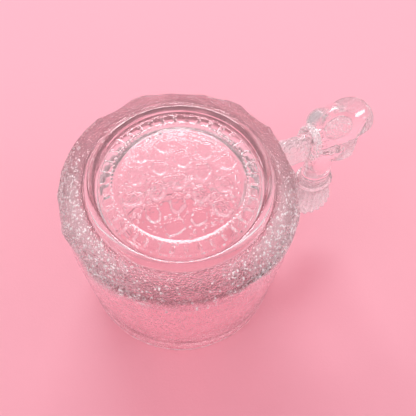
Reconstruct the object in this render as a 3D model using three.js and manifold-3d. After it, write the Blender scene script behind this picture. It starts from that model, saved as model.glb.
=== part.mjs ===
// A pressed-glass mug with a chipped-stone wall and a carved handle of stacked stones, stored standing on its rim.
// Units are millimetres. +Z is up, the mouth faces down at z = 0 and the handle points along +X.
import * as THREE from "three";
import { mergeVertices } from "three/addons/utils/BufferGeometryUtils.js";
import Module from "manifold-3d";

// Cup
const mugHeight = 96;
const floorThickness = 8; // glass between the cavity and the plane the mug stands on in use
const stoneRadius = 45.1; // outermost reach of the stone wall
const wallThickness = 6.7; // stone wall at the mouth, from the cavity to its outermost reach
const cavityTaper = 2.4; // how much smaller the cavity's radius is at its floor than at the mouth
const cavityFillet = 11;

// Smooth lip band next to the mouth
const lipHeight = 13;
const lipThickness = 4.2;
const rimRound = 1.3;
const ledgeHeight = 2.4; // slope from the lip band out to the stone wall

// Chips in the stone wall
const chipSpacing = 14.5;
const chipDepth = 1.9;
const chipHollow = 26; // radius of curvature of one chip's hollow
const chipInset = 5; // the chips deepen over this width of the heel, out to the wall
const chipDrop = 20; // below the heel they fade over this height of the wall
const baseChips = 0.2; // share of their depth that is left beside the foot ring
const wallChips = 0.12; // share of their depth that is left on the lower wall

// Base
const heelDrop = 5.6; // fall of the heel from the foot ring to its outer edge
const heelCurve = 1.7; // power of the fall: the heel starts level and steepens outwards
const heelRound = 3;
const heelWidth = 11.2; // from the foot ring out to the stone wall
const footWidth = 3.4;
const footHeight = 1.5;
const footCrest = 1.1; // width of the flat that carries the mug in use
const footShoulder = 1.05; // height of the ring's steep sides, below its rounded shoulders
const reliefMargin = 1.2;
const reliefPlate = 0.35;
const pebbleHeight = 0.65;
const pebbleRows = [3, 4, 5, 4, 3];
const rowNesting = 0.87; // distance between rows over the distance between pebbles in a row
const dashCount = 36;
const dashLength = 2.6;
const dashWidth = 1;
const dashHeight = 0.35;

// Handle, from top to bottom as it is stored. Half sizes are along x, y and z.
const handleDrop = 3.2; // the handle's top below the base plane
const headHeight = 22.3;
const columnHeight = 23.5;
const cuffHeight = 3.4;
const flareHeight = 19.6;
const columnReach = 21.2; // stone wall to the column's axis under the head
const columnLean = 2.5; // how much further out the column's lower end is
const columnHalf = new THREE.Vector2(7.8, 6);
const columnWaist = 0.7; // inset of the column halfway up
const headSide = 3; // the head sits this far towards +Y
const coreReach = 25.4;
const coreHalf = new THREE.Vector3(12.4, 9.4, 10.6);
const domeReach = 33;
const domeHalf = new THREE.Vector3(10.2, 9.6, 9.6);
const bossHalf = new THREE.Vector3(6.6, 4.8, 3.8);
const bossTilt = 20; // degrees, towards -Y
const sideStoneHalf = new THREE.Vector3(4.8, 4.8, 5.2);
const ledgeStoneHalf = new THREE.Vector3(8.6, 5.8, 6.4);
const collarHeight = 12;
const collarFlare = 2.8; // how far the collar stands out from the column
const fluteCount = 10;
const fluteDepth = 0.8;
const cuffBulge = 1.8;
const flareSpread = 5; // how far the foot's lower edge stands out from the column
const flareCurve = 1.3; // power of the spread: the foot widens ever faster downwards
const flareShift = 1.5;
const upperArmHalf = new THREE.Vector2(4.8, 7);
const upperArmDrop = 2.6; // the arm's top below the handle's top
const lowerArmHalf = new THREE.Vector2(5, 6.2);
const armEndSwell = 1.16; // widening of both arms where they meet their neighbours

// Gap between neighbouring solids that meet on curved faces
const seam = 0.3;
const turnSteps = 72;

const floorZ = mugHeight - floorThickness;
const cavityMouthRadius = stoneRadius - wallThickness;
const cavityFloorRadius = cavityMouthRadius - cavityTaper;
const lipRadius = cavityMouthRadius + lipThickness;
const reliefZ = mugHeight - footHeight;
const footRadius = stoneRadius - heelWidth;
const heelInner = footRadius + seam;
const heelTop = mugHeight - footHeight / 2;
const glassLook = { roughness: 0.06, metalness: 0, transparent: true, opacity: 0.45 };

const wasm = await Module();
wasm.setup();

// Makes a manifold solid from a closed three.js geometry.
function solid(geometry) {
  const bare = geometry.clone();
  bare.deleteAttribute("normal");
  bare.deleteAttribute("uv");
  const merged = mergeVertices(bare, 1e-4);
  return new wasm.Manifold(
    new wasm.Mesh({
      numProp: 3,
      vertProperties: new Float32Array(merged.attributes.position.array),
      triVerts: new Uint32Array(merged.index.array),
    }),
  );
}

// Turns a manifold solid back into a three.js geometry.
function geometryOf(manifold) {
  const mesh = manifold.getMesh();
  const positions = new Float32Array(mesh.numVert * 3);
  for (let i = 0; i < mesh.numVert; i++) {
    positions.set(mesh.vertProperties.subarray(i * mesh.numProp, i * mesh.numProp + 3), i * 3);
  }
  const geometry = new THREE.BufferGeometry();
  geometry.setAttribute("position", new THREE.BufferAttribute(positions, 3));
  geometry.setIndex(new THREE.BufferAttribute(mesh.triVerts, 1));
  return geometry;
}

// Joins equal closed rings of points into a skin: a torus when looped, otherwise with flat ends.
function skin(rings, looped) {
  const count = rings[0].length;
  const positions = rings.flat().flatMap((p) => [p.x, p.y, p.z]);
  const faces = [];
  const lastRing = looped ? rings.length : rings.length - 1;
  for (let i = 0; i < lastRing; i++) {
    const here = i * count;
    const next = ((i + 1) % rings.length) * count;
    for (let j = 0; j < count; j++) {
      const k = (j + 1) % count;
      faces.push(here + j, here + k, next + k, here + j, next + k, next + j);
    }
  }
  if (!looped) {
    const last = (rings.length - 1) * count;
    for (let j = 1; j < count - 1; j++) {
      faces.push(0, j + 1, j, last, last + j, last + j + 1);
    }
  }
  const geometry = new THREE.BufferGeometry();
  geometry.setAttribute("position", new THREE.Float32BufferAttribute(positions, 3));
  geometry.setIndex(faces);
  return geometry;
}

// Sweeps a closed profile of [radius, height] points about Z. The profile may change with the angle.
// Its points run up the outside and down the inside.
function turned(profileAt) {
  const rings = [];
  for (let i = 0; i < turnSteps; i++) {
    const angle = (i / turnSteps) * 2 * Math.PI;
    const ring = profileAt(angle).map(
      ([r, z]) => new THREE.Vector3(r * Math.cos(angle), r * Math.sin(angle), z),
    );
    rings.push(ring.reverse());
  }
  return skin(rings, true);
}

// Points of a quarter round from angle a to angle b, in degrees, about a centre in the [radius, height] plane.
function arc(centreR, centreZ, radius, a, b, steps) {
  const points = [];
  for (let i = 0; i <= steps; i++) {
    const t = THREE.MathUtils.degToRad(a + ((b - a) * i) / steps);
    points.push([centreR + radius * Math.cos(t), centreZ + radius * Math.sin(t)]);
  }
  return points;
}

// Repeatable scatter between 0 and 1 for the chip in one row and column.
function scatter(row, column, salt) {
  const value = Math.sin(row * 127.1 + column * 311.7 + salt * 74.7) * 43758.5453;
  return value - Math.floor(value);
}

const chipsPerRow = Math.round((2 * Math.PI * stoneRadius) / chipSpacing);
const inCell = (share) => 0.15 + 0.7 * share; // a chip's centre keeps off the edges of its cell

// Depth of the chips at an angle and at a distance along the wall, from the lip band up and over the heel.
function chipped(angle, along) {
  const row = Math.floor(along / chipSpacing);
  const column = Math.floor((angle / (2 * Math.PI)) * chipsPerRow);
  let depth = 0;
  for (let i = row - 1; i <= row + 1; i++) {
    for (let j = column - 1; j <= column + 1; j++) {
      const wrapped = (j + chipsPerRow) % chipsPerRow;
      const centreAngle = ((j + inCell(scatter(i, wrapped, 1))) / chipsPerRow) * 2 * Math.PI;
      const centreAlong = (i + inCell(scatter(i, wrapped, 2))) * chipSpacing;
      const across = (angle - centreAngle) * stoneRadius;
      const reach = across ** 2 + (along - centreAlong) ** 2;
      const cut = chipDepth * (0.6 + 0.4 * scatter(i, wrapped, 3)) - reach / (2 * chipHollow);
      depth = Math.max(depth, cut);
    }
  }
  return depth;
}

const heelZ = heelTop - heelDrop; // where the heel turns into the wall
const wallSteps = 13;

// Share of the chips' depth at a place on the unchipped stone: they are deepest where the heel turns into the wall.
function chipShare(radius, z) {
  const outward = THREE.MathUtils.smoothstep(radius, stoneRadius - chipInset, stoneRadius - 1);
  const upward = THREE.MathUtils.smoothstep(z, heelZ - chipDrop, heelZ - heelRound);
  return (baseChips + (1 - baseChips) * outward) * (wallChips + (1 - wallChips) * upward);
}

function wallRadius(angle, z) {
  return stoneRadius - chipShare(stoneRadius, z) * chipped(angle, z - lipHeight);
}

// Outer face of the stone wall at one angle, from the lip band up to the given height.
function wallFace(angle, topZ, grow) {
  const points = [[lipRadius + grow, lipHeight]];
  const start = lipHeight + ledgeHeight;
  for (let i = 0; i <= wallSteps; i++) {
    const z = start + ((topZ - start) * i) / wallSteps;
    points.push([wallRadius(angle, z) + grow, z]);
  }
  return points;
}

function stoneWall(grow = 0) {
  return turned((angle) => {
    const cavity = arc(
      cavityFloorRadius - cavityFillet,
      floorZ - cavityFillet,
      cavityFillet,
      90,
      0,
      6,
    );
    return [...wallFace(angle, floorZ, grow), ...cavity, [cavityMouthRadius, lipHeight]];
  });
}

function lipBand() {
  const outer = arc(lipRadius - rimRound, rimRound, rimRound, -90, 0, 4);
  const inner = arc(cavityMouthRadius + rimRound, rimRound, rimRound, 180, 270, 4);
  return turned(() => [...inner, ...outer, [lipRadius, lipHeight], [cavityMouthRadius, lipHeight]]);
}

// Stone heel around the base: it falls from the foot ring to the wall, with the same run of chips.
function heelRing(grow = 0) {
  const slopeSteps = 6;
  const slopeLength = stoneRadius - heelInner;
  const edgeAlong = heelZ - lipHeight;
  return turned((angle) => {
    const points = [
      [heelInner, floorZ],
      [wallRadius(angle, floorZ) + grow, floorZ],
      [wallRadius(angle, heelZ - heelRound / 2) + grow, heelZ - heelRound / 2],
    ];
    for (let i = slopeSteps; i >= 1; i--) {
      const share = i / (slopeSteps + 1);
      const along = edgeAlong + (1 - share) * slopeLength;
      const radius = heelInner + share * slopeLength;
      const fall = heelDrop * share ** heelCurve + chipShare(radius, heelTop) * chipped(angle, along);
      points.push([radius + share * grow, heelTop - fall + grow]);
    }
    points.push([heelInner, heelTop + grow]);
    return points;
  });
}

function lathe(profile, steps = turnSteps) {
  const points = profile.map(([r, z]) => new THREE.Vector2(r, z));
  return new THREE.LatheGeometry(points, steps).rotateX(Math.PI / 2);
}

function baseDisc() {
  return lathe([
    [0, floorZ],
    [footRadius, floorZ],
    [footRadius, reliefZ],
    [0, reliefZ],
  ]);
}

function footRing() {
  const side = (footWidth - footCrest) / 2;
  const shoulderIn = side * 0.4;
  const inner = footRadius - footWidth;
  return lathe([
    [inner, reliefZ],
    [footRadius, reliefZ],
    [footRadius - shoulderIn, reliefZ + footShoulder],
    [footRadius - side, mugHeight],
    [inner + side, mugHeight],
    [inner + shoulderIn, reliefZ + footShoulder],
    [inner, reliefZ],
  ]);
}

// Low dome of radius 1 and height 1, standing at z = 0
const pebbleProfile = [[0, 0], [1, 0], [0.93, 0.6], [0.62, 0.92], [0, 1]];

// Thin plate in the foot ring with raised pebbles in the middle and short dashes around them.
function baseRelief() {
  const plateRadius = footRadius - footWidth - reliefMargin;
  const plateTop = reliefZ + reliefPlate;
  const dashRing = plateRadius - dashLength / 2 - reliefMargin;
  let relief = solid(
    lathe([
      [0, reliefZ],
      [plateRadius, reliefZ],
      [plateRadius, plateTop],
      [0, plateTop],
    ]),
  );
  for (let i = 0; i < dashCount; i++) {
    const angle = (i / dashCount) * 2 * Math.PI;
    const dash = new THREE.BoxGeometry(dashLength, dashWidth, reliefPlate + dashHeight)
      .translate(dashRing, 0, reliefZ + (reliefPlate + dashHeight) / 2)
      .rotateZ(angle);
    relief = relief.add(solid(dash));
  }
  const fieldRadius = dashRing - dashLength - reliefMargin;
  const pitch = (2 * fieldRadius) / pebbleRows.length;
  pebbleRows.forEach((count, row) => {
    for (let i = 0; i < count; i++) {
      const x = (i - (count - 1) / 2) * pitch;
      const y = (row - (pebbleRows.length - 1) / 2) * pitch * rowNesting;
      const size = pitch * (0.36 + 0.1 * scatter(row, i, 4));
      const pebble = lathe(pebbleProfile, 10)
        .scale(size, size * (0.7 + 0.25 * scatter(row, i, 5)), reliefPlate + pebbleHeight)
        .rotateZ(scatter(row, i, 6) * Math.PI)
        .translate(x, y, reliefZ);
      relief = relief.add(solid(pebble));
    }
  });
  return geometryOf(relief);
}

// Closed loop of points around an oval, level at height z, with optional flutes.
function ovalRing(x, y, z, halfX, halfY, flutes = 0) {
  const ring = [];
  const sides = 4 * fluteCount;
  for (let i = 0; i < sides; i++) {
    const t = (i / sides) * 2 * Math.PI;
    const inset = flutes ? (flutes * (1 - Math.cos(fluteCount * t))) / 2 : 0;
    const px = x + (halfX - inset) * Math.cos(t);
    const py = y + (halfY - inset) * Math.sin(t);
    ring.push(new THREE.Vector3(px, py, z));
  }
  return ring;
}

// A bar from x = start to x = end, with oval sections whose half sizes are (across, tall).
function bar(start, end, startZ, endZ, startHalf, endHalf) {
  const rings = [];
  const steps = 6;
  const sides = 20;
  for (let i = 0; i <= steps; i++) {
    const share = i / steps;
    const swell = 1 + (armEndSwell - 1) * (2 * share - 1) ** 2;
    const x = THREE.MathUtils.lerp(start, end, share);
    const z = THREE.MathUtils.lerp(startZ, endZ, share);
    const half = startHalf.clone().lerp(endHalf, share).multiplyScalar(swell);
    const ring = [];
    for (let j = 0; j < sides; j++) {
      const t = (j / sides) * 2 * Math.PI;
      ring.push(new THREE.Vector3(x, half.x * Math.cos(t), z + half.y * Math.sin(t)));
    }
    rings.push(ring);
  }
  return skin(rings, false);
}

function ellipsoid(centre, half, grow = 0, tilt = 0) {
  return new THREE.SphereGeometry(1, 24, 14)
    .scale(half.x + grow, half.y + grow, half.z + grow)
    .rotateX(THREE.MathUtils.degToRad(tilt))
    .translate(centre.x, centre.y, centre.z);
}

// Places on the handle, all worked out from the wall and the base
const columnX = stoneRadius + columnReach;
const handleTop = mugHeight - handleDrop;
const collarBottom = handleTop - headHeight;
const collarTop = collarBottom + collarHeight;
const columnBottom = collarBottom - columnHeight;
const cuffBottom = columnBottom - cuffHeight;
const flareBottom = cuffBottom - flareHeight;
const columnFootX = columnX + columnLean;
const coreCentre = new THREE.Vector3(stoneRadius + coreReach, headSide, handleTop - coreHalf.z);
const domeCentre = new THREE.Vector3(stoneRadius + domeReach, headSide, handleTop - domeHalf.z);

// The smaller stones sit on the core, at places given as shares of its half sizes
const bossCentre = new THREE.Vector3(
  coreCentre.x - coreHalf.x * 0.2,
  headSide - coreHalf.y * 0.4,
  coreCentre.z + coreHalf.z * 0.66,
);
const sideStoneCentre = new THREE.Vector3(
  coreCentre.x - coreHalf.x * 0.5,
  headSide + coreHalf.y * 0.34,
  handleTop - sideStoneHalf.z,
);
const ledgeStoneCentre = new THREE.Vector3(
  coreCentre.x + coreHalf.x * 0.12,
  headSide - coreHalf.y * 0.68,
  collarBottom + ledgeStoneHalf.z,
);

const dome = (grow) => solid(ellipsoid(domeCentre, domeHalf, grow));
const core = (grow) => solid(ellipsoid(coreCentre, coreHalf, grow));
const boss = (grow) => solid(ellipsoid(bossCentre, bossHalf, grow, bossTilt));
const sideStone = (grow) => solid(ellipsoid(sideStoneCentre, sideStoneHalf, grow));
const ledgeStone = (grow) => solid(ellipsoid(ledgeStoneCentre, ledgeStoneHalf, grow));

// Fluted collar that carries the head: it widens upwards from the column.
function collar(grow) {
  const x = columnHalf.x + grow;
  const y = columnHalf.y + grow;
  const half = collarFlare / 2;
  return solid(
    skin(
      [
        ovalRing(columnX, 0, collarBottom, x, y),
        ovalRing(columnX, 0, collarBottom + collarFlare, x + half, y + half, fluteDepth),
        ovalRing(columnX, 0, collarTop, x + collarFlare, y + collarFlare, fluteDepth),
      ],
      false,
    ),
  );
}

function column() {
  const rings = [];
  const steps = 5;
  for (let i = 0; i <= steps; i++) {
    const share = i / steps;
    const inset = columnWaist * Math.sin(Math.PI * share);
    const x = THREE.MathUtils.lerp(columnFootX, columnX, share);
    const z = THREE.MathUtils.lerp(columnBottom, collarBottom, share);
    rings.push(ovalRing(x, 0, z, columnHalf.x - inset, columnHalf.y - inset));
  }
  return skin(rings, false);
}

function cuff() {
  const middle = (columnBottom + cuffBottom) / 2;
  const half = cuffBulge / 2;
  return skin(
    [
      ovalRing(columnFootX, 0, cuffBottom, columnHalf.x + half, columnHalf.y + half),
      ovalRing(columnFootX, 0, middle, columnHalf.x + cuffBulge, columnHalf.y + cuffBulge),
      ovalRing(columnFootX, 0, columnBottom, columnHalf.x, columnHalf.y),
    ],
    false,
  );
}

// Flared foot of the handle: it widens downwards and is fluted.
function flare(grow) {
  const rings = [];
  const steps = 4;
  for (let i = 0; i <= steps; i++) {
    const share = i / steps;
    const spread = flareSpread * (1 - share) ** flareCurve;
    const z = flareBottom + share * flareHeight;
    const x = columnFootX + flareShift * (1 - share);
    const halfX = columnHalf.x + fluteDepth + spread + grow;
    const halfY = columnHalf.y + fluteDepth + spread / 2 + grow;
    rings.push(ovalRing(x, 0, z, halfX, halfY, fluteDepth));
  }
  return solid(skin(rings, false));
}

const wallSolid = solid(stoneWall(seam));
const heelSolid = solid(heelRing(seam));
const armStart = cavityMouthRadius + lipThickness / 2;
const upperArmZ = handleTop - upperArmDrop - upperArmHalf.y;
const upperArmEndZ = (handleTop - upperArmDrop + collarBottom) / 2;
const lowerArmZ = flareBottom + lowerArmHalf.y * armEndSwell;

function upperArm(grow) {
  const end = new THREE.Vector2(upperArmHalf.x, (handleTop - upperArmDrop - upperArmEndZ) / armEndSwell);
  const half = upperArmHalf.clone().addScalar(grow);
  const arm = solid(bar(armStart, columnX, upperArmZ, upperArmEndZ, half, end.addScalar(grow)));
  return arm.subtract(wallSolid).subtract(heelSolid);
}

function lowerArm() {
  const arm = solid(bar(armStart, columnFootX, lowerArmZ, lowerArmZ, lowerArmHalf, lowerArmHalf));
  return arm.subtract(wallSolid);
}

const mug = new THREE.Group();

function add(name, geometry, color) {
  const material = new THREE.MeshStandardMaterial({ ...glassLook, color });
  const mesh = new THREE.Mesh(geometry, material);
  mesh.name = name;
  mesh.geometry.computeVertexNormals();
  mug.add(mesh);
}

const clearGlass = 0xf4dde1;
const stoneGlass = 0xe9c9cf;

add("lip_band", lipBand(), clearGlass);
add("stone_wall", stoneWall(), stoneGlass);
add("stone_heel", heelRing(), stoneGlass);
add("base_disc", baseDisc(), clearGlass);
add("foot_ring", footRing(), clearGlass);
add("base_relief", baseRelief(), clearGlass);

// The stones of the handle's head, its collar and its arm. Each is cut clear of those before it.
const headPieces = [
  ["handle_dome_stone", dome, clearGlass],
  ["handle_core_stone", core, clearGlass],
  ["handle_oval_boss", boss, clearGlass],
  ["handle_side_stone", sideStone, clearGlass],
  ["handle_fluted_collar", collar, stoneGlass],
  ["handle_ledge_stone", ledgeStone, clearGlass],
  ["handle_upper_arm", upperArm, clearGlass],
];
const placed = [];
for (const [name, shape, color] of headPieces) {
  const piece = placed.reduce((rest, other) => rest.subtract(other), shape(0));
  add(name, geometryOf(piece), color);
  placed.push(shape(seam));
}
add("handle_column", column(), clearGlass);
add("handle_cuff", cuff(), clearGlass);
add("handle_flared_foot", geometryOf(flare(0)), stoneGlass);
add("handle_lower_arm", geometryOf(lowerArm().subtract(flare(seam))), clearGlass);

// The origin is the middle of the bounding box's bottom face.
const bounds = new THREE.Box3().setFromObject(mug, true);
const middle = bounds.getCenter(new THREE.Vector3());
mug.position.set(-middle.x, -middle.y, -bounds.min.z);

export default mug;
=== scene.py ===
"""A pressed-glass mug with a chipped-stone wall and a handle of stacked stones, standing on its rim.

The mug is one piece of glass, so its regions are joined into one closed skin. The cup is turned from a
profile and chipped by a rule. Geometry Nodes raise the base relief and the stipple on it. The handle's
stones are merged, softened and joined to the wall. The mug's sizes are in millimetres until it is finished
and scaled to metres. The studio's are in metres.
"""

import math

import bpy
import numpy as np
from mathutils import Matrix, Vector, noise


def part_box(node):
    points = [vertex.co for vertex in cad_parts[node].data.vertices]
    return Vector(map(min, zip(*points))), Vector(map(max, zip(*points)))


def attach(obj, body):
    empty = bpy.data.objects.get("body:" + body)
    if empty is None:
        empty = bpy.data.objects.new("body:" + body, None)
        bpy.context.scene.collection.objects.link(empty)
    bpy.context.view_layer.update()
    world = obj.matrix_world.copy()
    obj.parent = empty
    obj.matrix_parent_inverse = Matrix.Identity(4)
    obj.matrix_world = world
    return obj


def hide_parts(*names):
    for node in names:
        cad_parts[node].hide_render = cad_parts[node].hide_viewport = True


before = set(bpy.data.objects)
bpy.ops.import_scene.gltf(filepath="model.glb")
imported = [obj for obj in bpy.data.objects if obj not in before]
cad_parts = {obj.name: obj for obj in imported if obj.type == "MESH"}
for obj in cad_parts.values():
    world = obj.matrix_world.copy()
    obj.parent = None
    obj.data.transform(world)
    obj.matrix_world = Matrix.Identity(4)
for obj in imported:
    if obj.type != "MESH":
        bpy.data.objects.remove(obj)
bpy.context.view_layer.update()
MM = 0.001
TAU = 2 * math.pi


def box_mm(node):
    """Lowest and highest corner of a CAD node, in millimetres."""
    lo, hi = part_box(node)
    return np.array(lo) / MM, np.array(hi) / MM


# Cup
LIP_LO, LIP_HI = box_mm("lip_band")
AXIS_X = (LIP_LO[0] + LIP_HI[0]) / 2
AXIS_Y = (LIP_LO[1] + LIP_HI[1]) / 2
MUG_HEIGHT = box_mm("foot_ring")[1][2]
LIP_HEIGHT = LIP_HI[2]
LIP_RADIUS = (LIP_HI[0] - LIP_LO[0]) / 2
LIP_THICKNESS = 4.2
RIM_ROUND = 1.3
LEDGE_HEIGHT = 2.4
ARRIS = 0.5  # height of the sharp edge along the foot of the wall, which carries a painted glint line
LIP_BEAD_Z = 0.42 * LIP_HEIGHT  # a low bead runs round the lip band at this height
LIP_BEAD_RISE = 0.6
LIP_BEAD_HALF_HEIGHT = 1.1
STONE_RADIUS = 45.1
WALL_THICKNESS = 6.7
CAVITY_MOUTH = STONE_RADIUS - WALL_THICKNESS  # the cavity's radius at the mouth
CAVITY_FLOOR = CAVITY_MOUTH - 4.2  # and at the floor
CAVITY_STRAIGHT = 40.0  # the cavity is straight up to here and then narrows
CAVITY_FILLET = 12.5
FLOOR_Z = MUG_HEIGHT - 8.0

# Chips in the wall and heel
CHIP_SPACING = 14.5
CHIP_DEPTH = 1.9
CHIP_HOLLOW = 26.0
CHIP_STEP = 0.45  # a chip's edge stands this far above its neighbour's at most
CHIPS_PER_ROW = round(TAU * STONE_RADIUS / CHIP_SPACING)
STIPPLE_GRAIN = 1.1
STIPPLE_HEIGHT = 0.2
WALL_FROST = 0.6  # how far the stone wall is frosted

# Base
FOOT_RADIUS = 33.9
FOOT_WIDTH = 3.4
FOOT_HEIGHT = 1.5
HEEL_INNER = 34.2
HEEL_TOP = MUG_HEIGHT - FOOT_HEIGHT / 2
HEEL_DROP = 5.6
HEEL_CURVE = 1.7
HEEL_Z = HEEL_TOP - HEEL_DROP
BEND_DROP = 2.4  # the upright wall starts this far below the heel's outer edge
BASE_CELL = 0.4  # length of the skin's cells on the base
RELIEF_Z = MUG_HEIGHT - FOOT_HEIGHT
RELIEF_MARGIN = 1.2
PLATE_HEIGHT = 0.35
PLATE_RADIUS = FOOT_RADIUS - FOOT_WIDTH - RELIEF_MARGIN
PEBBLE_HEIGHT = 0.65
PEBBLE_WAVINESS = 0.9
RELIEF_EDGE = 0.4  # width of the rounded edge round a raised shape
PEBBLE_ROWS = [3, 4, 5, 4, 3]
ROW_NESTING = 0.87
DASH_COUNT = 36
DASH_LENGTH = 2.6
DASH_WIDTH = 1.0
DASH_RING = PLATE_RADIUS - DASH_LENGTH / 2 - RELIEF_MARGIN
BEAD_RING = DASH_RING - DASH_LENGTH / 2 - 0.7
BEAD_SIZE = 0.42
BEAD_COUNT = 96
BEVEL_WIDTH = 1.5
BEVEL_TOP = BEAD_RING - BEAD_SIZE - 0.1
BORDER_HEIGHT = 0.39
GRAVEL_COUNT = 380

# Handle
HANDLE_TOP = box_mm("handle_dome_stone")[1][2]
COLLAR_BOTTOM, COLLAR_TOP = (box_mm("handle_fluted_collar")[i][2] for i in (0, 1))
COLUMN_BOTTOM = box_mm("handle_column")[0][2]
CUFF_BOTTOM = box_mm("handle_cuff")[0][2]
FLARE_BOTTOM = box_mm("handle_flared_foot")[0][2]
COLUMN_X = STONE_RADIUS + 21.2
COLUMN_FOOT_X = COLUMN_X + 2.5
COLUMN_HALF = (7.8, 6.0)
HEAD_SIDE = 3.0  # the head's stones stand this far to one side of the arms
CORE_HALF = (12.4, 9.4, 10.6)
CORE = Vector((STONE_RADIUS + 25.4, HEAD_SIDE, HANDLE_TOP - CORE_HALF[2]))
DOME_HALF = (10.2, 9.6, 9.6)
DOME = Vector((STONE_RADIUS + 33.0, HEAD_SIDE, HANDLE_TOP - DOME_HALF[2]))
DOME_FACE = (-0.1, 0.22, 0.97)  # the dome's large pressed face
DOME_BROW = Vector((-0.01, 0.92, 0.39))  # it ends under an edge that is further this way
BROW_START = 0.32
DOME_CHEEK = Vector((0.9, -0.435, 0.036))  # the dome's outer side, which is a little frosted and gets some painted glint
BOSS_HALF = (6.0, 4.0, 4.4)
BOSS = Vector((CORE.x - 2.6, HEAD_SIDE - 5.0, CORE.z + 7.8))
SIDE_HALF = (6.0, 5.2, 5.2)
SIDE = Vector((CORE.x - 5.6, HEAD_SIDE + 2.6, HANDLE_TOP - 5.6))
LEDGE_HALF = (8.6, 5.8, 6.4)
LEDGE = Vector((CORE.x + 1.5, HEAD_SIDE - 6.4, COLLAR_BOTTOM + LEDGE_HALF[2]))
ARM_START = CAVITY_MOUTH + LIP_THICKNESS / 2
ARM_SWELL = 1.16  # an arm's ends are this much thicker than its middle
ARM_TOP = HANDLE_TOP - 2.6
ARM_END_Z = (ARM_TOP + COLLAR_BOTTOM) / 2
LOWER_ARM_HALF = (5, 6.2)
RUFFLE_X = STONE_RADIUS + 11.0  # two rows of beads run round the upper arm here
MERGE_CELL = 0.5  # the handle's bodies are merged in cells of this size
# The handle's faces that look this way kept the mould's rough skin
MOULD_SIDE = Vector((0.25, 0.45, -0.86))

# Columns of the cup's skin
TURN_COLUMNS = 384
FRONT_ANGLE = math.radians(245)  # the side of the cup that faces the camera
PAINTED_GLINTS_LEFT = (-62, 55)  # centre and half width, in degrees from the front, of the heel's painted glints
PAINTED_GLINTS_RIGHT = (62, 44)
PAINTED_EDGE_GLINT = 0.52  # share of the cells on the relief's steep edges that get whitish glass as painted glints
EDGE_LEVEL = 0.93  # an edge is steep where its normal rises less than this
PAINTED_SPARK_SHARE = 0.13  # share of those painted glint cells that are nearly white, as painted sparkles


def scatter(row, column, salt):
    """Repeatable scatter between 0 and 1 for a row and a column. The salt keeps its uses apart."""
    value = np.sin(row * 127.1 + column * 311.7 + salt * 74.7) * 43758.5453
    return value - np.floor(value)


def chipped(angle, along):
    """Depth of the chips at angles and distances along the wall, from the lip band up and over the heel."""
    row = np.floor(along / CHIP_SPACING)
    column = np.floor(angle / TAU * CHIPS_PER_ROW)
    depth = np.zeros_like(angle)
    step = np.zeros_like(angle)
    for i in (row - 1, row, row + 1):
        for j in (column - 1, column, column + 1):
            wrapped = np.mod(j, CHIPS_PER_ROW)
            centre_angle = (j + 0.15 + 0.7 * scatter(i, wrapped, 1)) / CHIPS_PER_ROW * TAU
            centre_along = (i + 0.15 + 0.7 * scatter(i, wrapped, 2)) * CHIP_SPACING
            reach = ((angle - centre_angle) * STONE_RADIUS) ** 2 + (along - centre_along) ** 2
            cut = CHIP_DEPTH * (0.6 + 0.4 * scatter(i, wrapped, 3)) - reach / (2 * CHIP_HOLLOW)
            step = np.where(cut > depth, CHIP_STEP * (scatter(i, wrapped, 7) - 0.5), step)
            depth = np.maximum(depth, cut)
    return np.maximum(depth + step, 0)


class Skin:
    """A closed skin turned row by row. A row may have half or twice the columns of the row before."""

    def __init__(self):
        self.points = []
        self.stone = []
        self.frost = []
        self.faces = []
        self.last = None

    def pole(self, z):
        """The point on the axis that the skin starts or ends with."""
        here = len(self.points)
        self.points.append((0.0, 0.0, z))
        self.stone.append(0.0)
        self.frost.append(0.0)
        if self.last is not None:
            start, count = self.last
            for j in range(count):
                self.faces.append((start + j, here, start + (j + 1) % count))
        self.last = (here, 1)

    def row(self, columns, place, stone=0.0, frost=0.0):
        """place(angle) gives the row's radii and heights for an array of angles."""
        here = len(self.points)
        angle = np.arange(columns) / columns * TAU
        radius, height = place(angle)
        self.points.extend(
            zip(
                (radius * np.cos(angle)).tolist(),
                (radius * np.sin(angle)).tolist(),
                (height + 0 * angle).tolist(),
            )
        )
        self.stone.extend((stone + 0 * angle).tolist())
        self.frost.extend([frost] * columns)
        start, count = self.last
        for j in range(max(columns, count) if count == columns else min(columns, count)):
            if count == 1:
                break
            k = (j + 1) % min(columns, count)
            if count == columns:
                self.faces.append((start + j, here + j, here + k, start + k))
            elif columns == 2 * count:
                b = (here + 2 * j, here + 2 * j + 1, here + (2 * j + 2) % columns)
                self.faces += [
                    (start + j, b[0], b[1]),
                    (start + j, b[1], start + k),
                    (start + k, b[1], b[2]),
                ]
            else:
                a = (start + 2 * j, start + 2 * j + 1, start + (2 * j + 2) % count)
                self.faces += [
                    (a[0], here + j, a[1]),
                    (a[1], here + j, here + k),
                    (a[1], here + k, a[2]),
                ]
        if count == 1:
            self.faces += [(start, here + j, here + (j + 1) % columns) for j in range(columns)]
        self.last = (here, columns)

    def ring(self, columns, radius, height):
        """A plain round row."""
        self.row(columns, lambda angle: (radius + 0 * angle, height))


def smooth(value, low, high):
    """0 below low, 1 above high, and an even curve between them."""
    share = min(1.0, max(0.0, (value - low) / (high - low)))
    return share * share * (3 - 2 * share)


def columns_at(radius):
    """Fewer columns near the axis, so that the skin's cells stay about as wide as they are long."""
    for limit, share in ((4, 8), (8, 4), (16, 2)):
        if radius < limit:
            return TURN_COLUMNS // share
    return TURN_COLUMNS


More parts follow.
